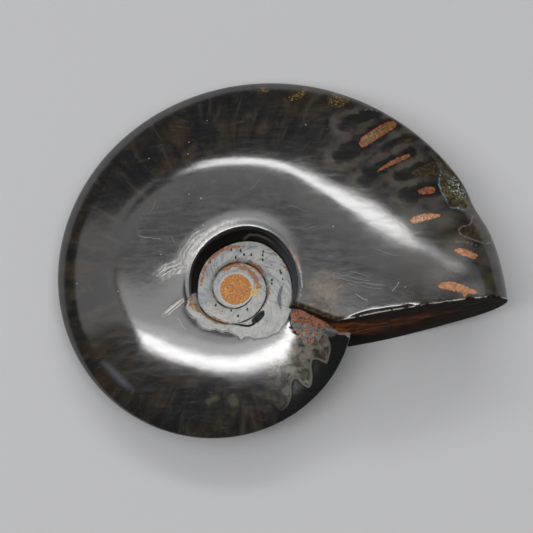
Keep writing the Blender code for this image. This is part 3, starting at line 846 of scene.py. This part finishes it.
# the polished black and its clouds
clouds = lumps(place, 6.0, 5, 0.6)
streaks = lumps(moved(growth_place, scale=(15, 3.4, 1)), 1.0, 5, 0.9)
outer = within(share_out, 0.42, 0.62)
inner = maths("SUBTRACT", 1.0, outer)
black = (0.0045, 0.0045, 0.005)
shade = tint(times(outer, within(clouds, 0.38, 0.72)), black, (0.017, 0.0115, 0.006))
shade = tint(times(outer, within(streaks, 0.50, 0.72), 0.6), shade, (0.032, 0.025, 0.016))
shade = tint(times(outer, within(streaks, 0.48, 0.32), 0.9), shade, (0.0025, 0.0025, 0.0025))
olive_noise = lumps(moved(place, location=(7, 3, 1)), 3.0, 4, 0.5)
shade = tint(times(outer, within(olive_noise, 0.60, 0.74), 0.6), shade, (0.040, 0.031, 0.014))
haze = lumps(moved(place, location=(31, 9, 4)), 7.0, 5, 0.4)
shade = tint(times(inner, within(haze, 0.42, 0.72), 0.8), shade, (0.016, 0.0145, 0.013))
shade = tint(times(inner, within(lumps(place, 1.0, 5), 0.46, 0.70), 0.7), shade, (0.019, 0.018, 0.017))

# fine scuffs and scratches in the polish, pale specks, and a painted bluish reflection streak on the lower left
patches_of_wear = lumps(moved(place, location=(5, 17, 2)), 3.5, 3)
scuffs = most(within(brushed(coil_wavy, 0.15, 2.5, 0.11), 0.62, 0.74),
              within(brushed(coil_wavy, -0.9, 2.0, 0.10), 0.65, 0.76))
shade = tint(times(scuffs, within(patches_of_wear, 0.44, 0.64), 0.55), shade, (0.075, 0.075, 0.075))
for start, end, width, strength in SCRATCHES:
    scratch = hairline(coil_wavy, start, end, 0.9 * width)
    shade = tint(times(scratch, strength, 0.75), shade, (0.26, 0.26, 0.25))
speck_cells = add("TexVoronoi", {"Vector": coil, "Scale": 0.42})
speck_draw = add("SeparateColor", {"Color": speck_cells.outputs["Color"]}).outputs[0]
specks = times(within(speck_cells.outputs["Distance"], 0.062, 0.03), within(speck_draw, 0.72, 0.76))
shade = tint(times(specks, 0.8), shade, (0.26, 0.26, 0.25))
# painted reflection: a soft bluish streak on the lower left, laid into the colour
shade = tint(times(within(kept("smear"), -0.5, 0.9), within(clouds, 0.3, 0.55), 0.7), shade,
             (0.060, 0.067, 0.080))

# the toothed shell layer near the mouth of the older turn
teeth = kept("teeth")
teeth_mask = ragged(teeth, edge_fine, 0.16, -0.05, 0.05)
late = times(within(angle_in, 4.95, 5.3), within(share_out, 0.30, 0.42))
layer_colour = tint(within(lumps(place, 1.3, 5, 0.5), 0.36, 0.66), (0.018, 0.015, 0.011), (0.110, 0.098, 0.078))
layer_colour = tint(within(teeth, 0.45, 0.1), layer_colour, (0.085, 0.078, 0.062))
shade = tint(times(late, maths("SUBTRACT", 1.0, teeth_mask)), shade, (0.0035, 0.0035, 0.0035))
shade = tint(times(late, teeth_mask), shade, layer_colour)

# dark lobes and pale loops where the chamber walls met the shell, and a painted sheen round the slits near the
# mouth
slit = kept("slit")
lobe = maths("ADD", kept("lobe"), times(edge_wide, 2.0))
loop = times(within(lobe, -2.3, -0.8), within(lobe, 0.15, -0.65))
shade = tint(times(loop, level(within(clouds, 0.35, 0.6), 0.2, 0.9)), shade, (0.043, 0.037, 0.031))
shade = tint(times(within(lobe, -0.45, 0.5), 0.85), shade, (0.003, 0.003, 0.003))
# painted sheen: a grey-brown glow laid on as colour round the slits near the mouth
painted_sheen = times(within(slit, -3.6, -0.8), maths("SUBTRACT", 1.0, early), within(clouds, 0.3, 0.65))
shade = tint(times(painted_sheen, 0.8), shade, (0.060, 0.056, 0.050))
drop = ragged(kept("drop"), edge_fine, 0.3, -0.06, 0.10)
shade = tint(drop, shade, (0.006, 0.0055, 0.004))
olive = ragged(kept("olive"), edge_wide, 2.0, -0.2, 0.6)
shade = tint(times(olive, 0.75), shade, (0.046, 0.040, 0.024))
pocket_away = distance_from((39.4, 9.2, 2.5))
pocket_line = within(maths("ABSOLUTE", maths("ADD", kept("gold"), 0.22)), 0.17, 0.05)
pocket_line = times(pocket_line, within(pocket_away, 5.5, 4.0), within(coarse_grain, 0.34, 0.48))
shade = tint(times(pocket_line, 0.8), shade, (0.105, 0.088, 0.062))
pale = ragged(kept("pale"), edge_fine, 0.14, -0.05, 0.08)
shade = tint(times(pale, within(coarse_grain, 0.38, 0.55), 0.55), shade, (0.15, 0.13, 0.10))

# gold and brown pockets
gold = ragged(kept("gold"), edge_fine, 0.5, -0.06, 0.14)
near_top = within(coil_y, 26.5, 30.0)
cells = add("TexVoronoi", {"Vector": place, "Scale": 2.6}).outputs["Color"]
sparkle = add("SeparateColor", {"Color": cells}).outputs[0]
small_cells = add("TexVoronoi", {"Vector": place, "Scale": 5.0}).outputs["Color"]
glitter = add("SeparateColor", {"Color": small_cells}).outputs[0]
gold_colour = tint(within(coarse_grain, 0.42, 0.66), (0.009, 0.006, 0.003), (0.034, 0.022, 0.008))
gold_colour = tint(times(within(fine_grain, 0.56, 0.66), 0.6), gold_colour, (0.075, 0.055, 0.024))
gold_colour = tint(times(near_top, within(coarse_grain, 0.54, 0.70)), gold_colour, (0.070, 0.040, 0.008))
gold_colour = tint(times(near_top, within(glitter, 0.86, 0.92)), gold_colour, (0.17, 0.105, 0.022))
shade = tint(gold, shade, gold_colour)

# rusty slits
rust = ragged(slit, edge_fine, 0.5, -0.03, 0.09)
late_rust = tint(within(coarse_grain, 0.36, 0.62), (0.190, 0.070, 0.022), (0.290, 0.120, 0.045))
late_rust = tint(within(fine_grain, 0.56, 0.68), late_rust, (0.33, 0.18, 0.10))
late_rust = tint(within(fine_grain, 0.42, 0.34), late_rust, (0.13, 0.045, 0.016))
early_rust = tint(within(coarse_grain, 0.38, 0.60), (0.090, 0.022, 0.003), (0.200, 0.052, 0.006))
early_middle = tint(within(fine_grain, 0.42, 0.60), (0.045, 0.028, 0.007), (0.120, 0.074, 0.014))
early_middle = tint(within(sparkle, 0.76, 0.86), early_middle, (0.105, 0.098, 0.050))
olive_middle = times(ragged(slit, edge_wide, 0.5, 0.26, 0.55), within(coil_x, 28.5, 27.0), 0.85)
early_rust = tint(olive_middle, early_rust, early_middle)
early_rust = tint(within(fine_grain, 0.44, 0.36), early_rust, (0.030, 0.012, 0.006))
white_grain = times(within(fine_grain, 0.52, 0.60), within(slit, 0.12, 0.35), within(coil_y, 8.0, 9.0),
                    within(coil_y, 12.5, 11.5))
late_rust = tint(times(white_grain, 0.7), late_rust, (0.34, 0.30, 0.25))
shade = tint(rust, shade, tint(early, late_rust, early_rust))

# the worn rim, where layers of mother-of-pearl show
worn_in = kept("worn")
worn = ragged(worn_in, edge_fine, 0.7, -0.05, 0.12)
flash = lumps(place, 0.9, 4, 1.2)
pearl = tint(within(coarse_grain, 0.38, 0.60), (0.008, 0.006, 0.003), (0.034, 0.025, 0.010))
pearl = tint(times(within(flash, 0.54, 0.62), within(worn_in, 0.3, 0.7)), pearl, (0.080, 0.058, 0.010))
blue_line = times(ragged(worn_in, edge_wide, 0.8, 0.45, 0.15), within(share_out, 0.955, 0.93),
                  within(flash, 0.46, 0.56))
pearl = tint(blue_line, pearl, tint(within(fine_grain, 0.45, 0.6), (0.035, 0.095, 0.125), (0.14, 0.21, 0.21)))
chip_place = distance_from((37.2, 17.0, 2.0))
glints = times(within(chip_place, 3.0, 0.8), within(glitter, 0.70, 0.80))
pearl = tint(glints, pearl, tint(within(fine_grain, 0.45, 0.55), (0.16, 0.22, 0.23), (0.36, 0.36, 0.32)))
shade = tint(worn, shade, pearl)

# the corner of the cut: a brown haze, the dark stain in it, and painted shadow along the edge beside it
corner_away = distance_from((15.5, -2.2, 7.0))
brown_haze = times(ragged(corner_away, edge_wide, 3.5, 5.2, 1.2), within(angle_in, 1.0, 0.5))
shade = tint(times(brown_haze, level(within(coarse_grain, 0.40, 0.60), 0.55, 0.95)), shade,
             (0.095, 0.072, 0.044))
# painted shadow: the overhanging edge by the corner is given the stain's dark colour
shaded_corner_edge = times(within(kept("from_cut"), 1.3, 0.5), within(coil_x, 19.5, 17.5), within(angle_in, 1.0, 0.5))
stain = most(ragged(kept("stain"), edge_wide, 1.6, -0.2, 0.5), shaded_corner_edge)
stain_colour = tint(within(coarse_grain, 0.44, 0.62), (0.008, 0.006, 0.004), (0.055, 0.032, 0.012))
stain_colour = tint(within(fine_grain, 0.60, 0.72), stain_colour, (0.085, 0.055, 0.020))
shade = tint(stain, shade, stain_colour)

# the chipped upper edge of the cut
from_cut = maths("ADD", kept("from_cut"), times(edge_fine, 0.35))
edge_runs = lumps(moved(place, scale=(1, 0.2, 0.2)), 1.3, 4)
dark_runs = times(within(from_cut, 0.55, 0.30), within(edge_runs, 0.56, 0.62))
shade = tint(dark_runs, shade, (0.012, 0.009, 0.006))
pale_runs = times(within(from_cut, 0.28, 0.12), within(edge_runs, 0.60, 0.50), within(coil_x, 17.5, 19.5))
shade = tint(times(pale_runs, 0.9), shade, (0.26, 0.24, 0.20))
chip = ragged(kept("chip"), edge_fine, 0.3, -0.02, 0.08)
chip_colour = tint(within(coarse_grain, 0.50, 0.60), (0.005, 0.004, 0.003), (0.050, 0.022, 0.008))
shade = tint(chip, shade, chip_colour)

# growth lines and the gouge; the growth lines' pale ridges are partly whitish scratches and partly painted
# highlight
wrinkles = maths("SINE", maths("ADD", maths("MULTIPLY", kept("wrinkle_across"), 9.0), times(edge_wide, 6.0)))
fine_wrinkles = within(brushed(coil_wavy, -0.80, 1.7, 0.17), 0.48, 0.62)
ridges = most(times(within(wrinkles, 0.1, 0.9), 0.7), times(fine_wrinkles, 0.95))
ridges = times(kept("wrinkle"), ridges, level(within(lumps(place, 0.9, 3), 0.40, 0.58), 0.4, 1.0))
shade = tint(times(kept("wrinkle"), 0.7), shade, (0.050, 0.049, 0.046))
# painted highlight: the pale colour on the ridges stands partly for the light they catch, partly for their
# whitish scratches
shade = tint(times(ridges, 0.9), shade, (0.230, 0.220, 0.205))
bar = ragged(kept("gouge"), edge_fine, 0.5, -0.02, 0.1)
bar_lines = within(maths("SINE", maths("MULTIPLY", kept("gouge_across"), 13.0)), -0.7, 0.9)
bar_end = within(kept("gouge_along"), 0.02, 0.25)
bar_colour = tint(times(bar_lines, bar_end), (0.030, 0.030, 0.030), (0.21, 0.20, 0.185))
shade = tint(times(bar, 0.9), shade, bar_colour)

# the rim of the umbilicus, pale with scuffs and a painted highlight, and its wall, with a painted bluish
# reflection on its right side
rim_in = kept("wall")
rim_band = times(within(rim_in, 0.70, 0.85), within(rim_in, 1.45, 1.05))
far_left = times(within(coil_y, 2.0, 5.0), within(coil_x, 2.5, -1.5))
# partly wear and partly painted highlight: the pale band stands for scuffs and for the broad light on the rim's
# shoulder
scuffs_and_rim_highlight = times(rim_band, far_left, level(within(coarse_grain, 0.42, 0.58), 0.35, 1.0))
shade = tint(times(scuffs_and_rim_highlight, 0.8), shade, (0.215, 0.205, 0.190))
on_wall = within(rim_in, 0.62, 0.40)
right_wall = within(coil_x, 5.0, 9.5)
# painted reflection: the wall's right side is tinted blue-grey for a bluish reflection in it
wall_colour_and_reflection = tint(right_wall, (0.0035, 0.003, 0.003), (0.040, 0.046, 0.054))
shade = tint(on_wall, shade, wall_colour_and_reflection)
shade = tint(times(drawn_line("arc", 0.17), on_wall, 0.85), shade, (0.125, 0.112, 0.090))

# a pale line and some rust along the rim beside the cut
rim_line = times(drawn_line("rim_line", 0.20), within(coarse_grain, 0.36, 0.50))
shade = tint(times(rim_line, 0.85), shade, (0.115, 0.135, 0.145))
rim_rust = times(ragged(kept("rust_line"), edge_fine, 0.6, -0.06, 0.12), within(coil_x, 8.9, 9.4))
shade = tint(times(rim_rust, 0.9), shade, (0.170, 0.058, 0.010))

# bare mineral
mineral = ragged(kept("mineral"), edge_fine, 0.30, -0.05, 0.05)
coil_radius = add("VectorMath", {0: moved(coil, scale=(1, 1, 0))}, operation="LENGTH").outputs["Value"]
spiral_turn = maths("ADD", maths("MULTIPLY", angle_in, 10.0), maths("MULTIPLY", coil_radius, 1.7))
spiral = add("CombineXYZ", {"X": spiral_turn, "Y": maths("MULTIPLY", coil_radius, 0.55)}).outputs["Vector"]
ribs = lumps(spiral, 1.0, 5, 0.7)
fine_ribs = lumps(moved(spiral, scale=(3.8, 1.6, 1), location=(4, 7, 0)), 1.0, 4, 0.8)
tone = lumps(moved(place, location=(21, 4, 3)), 2.2, 4, 0.5)
ribbed = within(maths("ADD", times(ribs, 0.6), times(tone, 0.4)), 0.38, 0.56)
grey = tint(ribbed, (0.105, 0.112, 0.124), (0.212, 0.215, 0.208))
grey = tint(times(within(coil_y, 1.0, -5.0), 0.45), grey, (0.275, 0.275, 0.250))
lined = level(times(within(coil_y, -1.0, 4.0), within(tone, 0.60, 0.45)), 0.22, 0.85)
grey = tint(times(within(fine_ribs, 0.52, 0.66), lined, 0.8), grey, (0.270, 0.272, 0.262))
grey = tint(times(within(fine_ribs, 0.44, 0.34), lined), grey, (0.034, 0.038, 0.046))
pale_patch = lumps(moved(place, location=(9, 1, 3)), 1.5, 3)
grey = tint(times(within(pale_patch, 0.58, 0.70), 0.7), grey, (0.190, 0.180, 0.145))
dark_specks = lumps(moved(place, location=(3, 3, 3)), 0.30, 3)
grey = tint(within(dark_specks, 0.64, 0.70), grey, (0.04, 0.043, 0.046))
# painted shade: the mineral is darkened along the seams, where shade falls in the grooves
seam_gap = maths("ADD", kept("seam"), times(edge_fine, 0.22))
seam_shade_depth = within(lumps(moved(place, location=(2, 8, 6)), 2.6, 3), 0.36, 0.56)
grey = tint(times(within(seam_gap, 0.24, 0.06), level(seam_shade_depth, 0.25, 1.0)), grey, (0.012, 0.012, 0.013))
# painted shade: the pits are darkened, and the oval hollow is darkest deepest inside
pit = ragged(kept("pit"), edge_fine, 0.14, -0.04, 0.06)
grey = tint(pit, grey, (0.010, 0.011, 0.010))
oval = maths("ADD", kept("oval"), times(edge_fine, 0.14))
hollow_shaded_colour = tint(within(coarse_grain, 0.38, 0.62), (0.006, 0.007, 0.005), (0.026, 0.029, 0.022))
hollow_shaded_colour = tint(within(oval, 0.05, 0.35), (0.003, 0.003, 0.003), hollow_shaded_colour)
grey = tint(within(oval, -0.04, 0.05), grey, hollow_shaded_colour)
# painted shade: the lens-shaped groove is darkened
lens = ragged(kept("lens_groove"), edge_fine, 0.3, -0.08, 0.14)
grey = tint(times(lens, 0.85), grey, (0.030, 0.034, 0.041))
rust_ragged = maths("ADD", times(edge_fine, 0.9), times(edge_wide, 0.7))
rust_line = within(maths("ADD", kept("rust_line"), rust_ragged), -0.06, 0.12)
line_colour = tint(within(fine_grain, 0.38, 0.62), (0.080, 0.026, 0.004), (0.215, 0.078, 0.010))
grey = tint(times(rust_line, 0.9), grey, line_colour)
rim_crust = ragged(kept("rim_crust"), edge_wide, 1.6, -0.05, 0.2)
crumbs = tint(within(fine_grain, 0.42, 0.58), (0.040, 0.018, 0.006), (0.255, 0.118, 0.036))
crumbs = tint(within(sparkle, 0.84, 0.92), crumbs, (0.17, 0.18, 0.16))
grey = tint(times(rim_crust, 0.92), grey, crumbs)
grey = tint(times(within(kept("core"), -0.50, -0.25), 0.55), grey, (0.255, 0.258, 0.245))
core = ragged(kept("core"), edge_fine, 0.2, -0.05, 0.06)
core_colour = tint(within(fine_grain, 0.36, 0.62), (0.155, 0.050, 0.006), (0.290, 0.108, 0.014))
core_colour = tint(within(lumps(place, 0.30, 3), 0.60, 0.68), core_colour, (0.060, 0.040, 0.008))
gold_grains = times(within(glitter, 0.86, 0.90), within(coarse_grain, 0.40, 0.55))
core_colour = tint(gold_grains, core_colour, (0.34, 0.19, 0.040))
grey = tint(core, grey, core_colour)
crystal = times(within(kept("crystal"), 0.0, 0.5), within(sparkle, 0.35, 0.5))
grey = tint(crystal, grey, tint(within(fine_grain, 0.45, 0.6), (0.20, 0.12, 0.02), (0.46, 0.34, 0.12)))
shade = tint(mineral, shade, grey)

# crust in the corner under the cut, with a painted highlight below it along the edge of the step
crust = ragged(kept("crust"), edge_fine, 0.9, -0.05, 0.10)
on_older_turn = within(angle_in, 5.0, 5.2)
crust_mask = times(crust, on_older_turn)
crust_colour = tint(within(lumps(place, 0.55, 5), 0.50, 0.56), (0.085, 0.098, 0.100), (0.190, 0.060, 0.012))
crust_colour = tint(within(coarse_grain, 0.47, 0.38), crust_colour, (0.014, 0.011, 0.009))
crust_colour = tint(within(coarse_grain, 0.58, 0.66), crust_colour, (0.170, 0.180, 0.170))
crust_rust = ragged(kept("crust_rust"), edge_fine, 0.9, -0.05, 0.15)
rusty = tint(within(lumps(place, 0.42, 5), 0.38, 0.56), (0.035, 0.010, 0.002), (0.235, 0.066, 0.012))
rusty = tint(within(glitter, 0.88, 0.92), rusty, (0.050, 0.056, 0.060))
crust_colour = tint(crust_rust, crust_colour, rusty)
shade = tint(crust_mask, shade, crust_colour)
# painted highlight: a pale blue-grey line along the edge of the step under the crust
ledge_highlight = times(ragged(kept("ledge_highlight"), edge_fine, 0.4, -0.02, 0.1), on_older_turn)
shade = tint(times(ledge_highlight, 0.8), shade, (0.130, 0.150, 0.160))

# gloss: the wall, the chips and the recesses are kept from shining, as dark metal is
matt = most(mineral, crust_mask, times(rim_rust, 0.7))
soft_polish = lumps(moved(place, scale=(0.6, 3.0, 1), rotation=(0, 0, 0.6)), 2.2, 5)
gloss = level(within(soft_polish, 0.35, 0.75), 0.14, 0.20)
gloss = level(rust, gloss, 0.25)
gloss = level(most(ridges, bar), gloss, 0.45)
gloss = level(worn, gloss, 0.26)
gloss = level(within(kept("mineral"), -0.50, -0.08), gloss, 0.42)
gloss = level(times(rim_band, within(coil_y, 0.0, 4.0)), gloss, 0.30)
gloss = level(most(shaded_corner_edge, chip), gloss, 0.75)
gloss = level(on_wall, gloss, 0.60)
gloss = level(matt, gloss, 0.95)
feed(shader.inputs["Base Color"], shade)
feed(shader.inputs["Roughness"], gloss)
dull_black = times(most(on_wall, shaded_corner_edge, chip), maths("SUBTRACT", 1.0, matt), 0.9)
deep_seam = times(within(seam_gap, 0.20, 0.06), seam_shade_depth)
recess = times(mineral, most(pit, within(oval, -0.04, 0.3), deep_seam), 0.8)
feed(shader.inputs["Metallic"], most(dull_black, recess))
shader.inputs["IOR"].default_value = 1.85
polish_height = maths("ADD", times(lumps(place, 0.9, 2), 0.10), times(brushed(coil, 0.6, 2.5, 0.16), 0.05))
polish_height = maths("ADD", polish_height, times(ridges, 0.7))
matt_height = maths("ADD", lumps(place, 0.20, 5), times(fine_ribs, lined, 0.8))
grain_height = level(matt, polish_height, matt_height)
bump = add("Bump", {"Height": grain_height, "Distance": 0.00012, "Strength": 0.55})
feed(shader.inputs["Normal"], bump.outputs["Normal"])

# ---------------------------------------------------------------- The sawn matrix
# The face of the cut: near-black under the upper edge, then rusty matrix, rough and dull.

sawn_matrix.use_nodes = True
tree = sawn_matrix.node_tree
shader = tree.nodes["Principled BSDF"]
place = moved(add("TexCoord", {}).outputs["Object"], scale=(1000, 1000, 1000))
cut_place = add("Attribute", {}, attribute_name="growth").outputs["Vector"]
below = add("SeparateXYZ", {"Vector": cut_place}).outputs["Y"]  # millimetres under the upper edge
lying_place = moved(place, scale=(0.45, 1, 1.6))
matrix = tint(within(lumps(lying_place, 1.6, 5, 0.6), 0.38, 0.62), (0.030, 0.010, 0.004), (0.145, 0.043, 0.010))
matrix = tint(within(lumps(place, 0.35, 4), 0.58, 0.72), matrix, (0.19, 0.065, 0.016))
band_edge = maths("ADD", below, times(maths("SUBTRACT", lumps(lying_place, 2.5, 4), 0.5), 3.5))
matrix = tint(within(band_edge, 6.6, 3.6), matrix, (0.013, 0.006, 0.003))
matrix = tint(within(band_edge, 2.2, 1.2), matrix, (0.012, 0.010, 0.009))
tip = within(add("SeparateXYZ", {"Vector": place}).outputs["X"], 26.5, 30.5)
matrix = tint(times(tip, 0.9), matrix, (0.014, 0.013, 0.011))
feed(shader.inputs["Base Color"], matrix)
shader.inputs["Roughness"].default_value = 0.85
shader.inputs["IOR"].default_value = 1.18
rubble = maths("ADD", times(lumps(lying_place, 1.1, 5), 1.0), times(lumps(place, 0.3, 4), 0.4))
bump = add("Bump", {"Height": rubble, "Distance": 0.0003, "Strength": 0.7})
feed(shader.inputs["Normal"], bump.outputs["Normal"])

# ---------------------------------------------------------------- The floor, light and camera
bpy.ops.object.select_all(action="DESELECT")
bpy.ops.mesh.primitive_plane_add(size=6, location=(0, 0, 0))
floor = bpy.context.object
floor.name = "floor"
paper = bpy.data.materials.new("pale_paper")
paper.use_nodes = True
paper_shader = paper.node_tree.nodes["Principled BSDF"]
paper_shader.inputs["Base Color"].default_value = (0.30, 0.30, 0.305, 1)
paper_shader.inputs["Roughness"].default_value = 0.9
floor.data.materials.append(paper)

PANEL_HEIGHT = 1.2
STRIP_LENGTH, STRIP_WIDTH, STRIP_RADIANCE = 0.47, 0.17, 3.6


def softbox(name, left, right, low, high, radiance):
    """A level panel over the stone, its edges these degrees off the vertical across the view and up it."""
    x0, x1, y0, y1 = (PANEL_HEIGHT * math.tan(math.radians(edge)) for edge in (left, right, low, high))
    bpy.ops.object.light_add(type="AREA", location=((x0 + x1) / 2, (y0 + y1) / 2, PANEL_HEIGHT))
    light = bpy.context.object
    light.name = name
    light.data.shape = "RECTANGLE"
    light.data.size, light.data.size_y = x1 - x0, y1 - y0
    light.data.energy = radiance * math.pi * (x1 - x0) * (y1 - y0)


softbox("front_softbox", -41.1, 21.4, -22.0, -9.8, 11.9)
softbox("front_spill_low", -41.2, 19.0, -8.8, 1.5, 3.8)
softbox("front_spill_high", -40.8, 16.3, 0.7, 15.6, 2.3)
softbox("middle_card", -45.5, 28.2, 19.6, 32.8, 0.8)
softbox("back_spill", -27.8, 30.7, 30.4, 33.7, 2.1)
softbox("back_softbox", -31.6, 25.0, 37.2, 47.6, 9.7)
softbox("left_card", -64.5, -44.3, -11.0, 48.6, 0.75)
softbox("right_card", 36.0, 60.0, 2.0, 40.0, 0.5)

# a narrow strip, turned, that draws the soft second light on the stone's nose
bpy.ops.object.light_add(type="AREA", location=(0.680, 0.850, PANEL_HEIGHT),
                         rotation=(0, 0, math.radians(-63.2)))
strip_light = bpy.context.object
strip_light.name = "nose_strip"
strip_light.data.shape = "RECTANGLE"
strip_light.data.size, strip_light.data.size_y = STRIP_LENGTH, STRIP_WIDTH
strip_light.data.energy = STRIP_RADIANCE * math.pi * STRIP_LENGTH * STRIP_WIDTH

world = bpy.data.worlds.new("dim_room")
bpy.context.scene.world = world
world.use_nodes = True
background = world.node_tree.nodes["Background"]
background.inputs["Color"].default_value = (0.9, 0.95, 1.0, 1)
background.inputs["Strength"].default_value = 0.07

bpy.ops.object.camera_add(location=(-0.002292, -0.0992807, 0.3998879), rotation=(math.radians(14), 0, 0))
camera = bpy.context.object
camera.data.lens = 164.803
camera.data.sensor_width = 36
camera.data.clip_start = 0.01
bpy.context.scene.camera = camera
bpy.context.scene.view_settings.view_transform = "Standard"
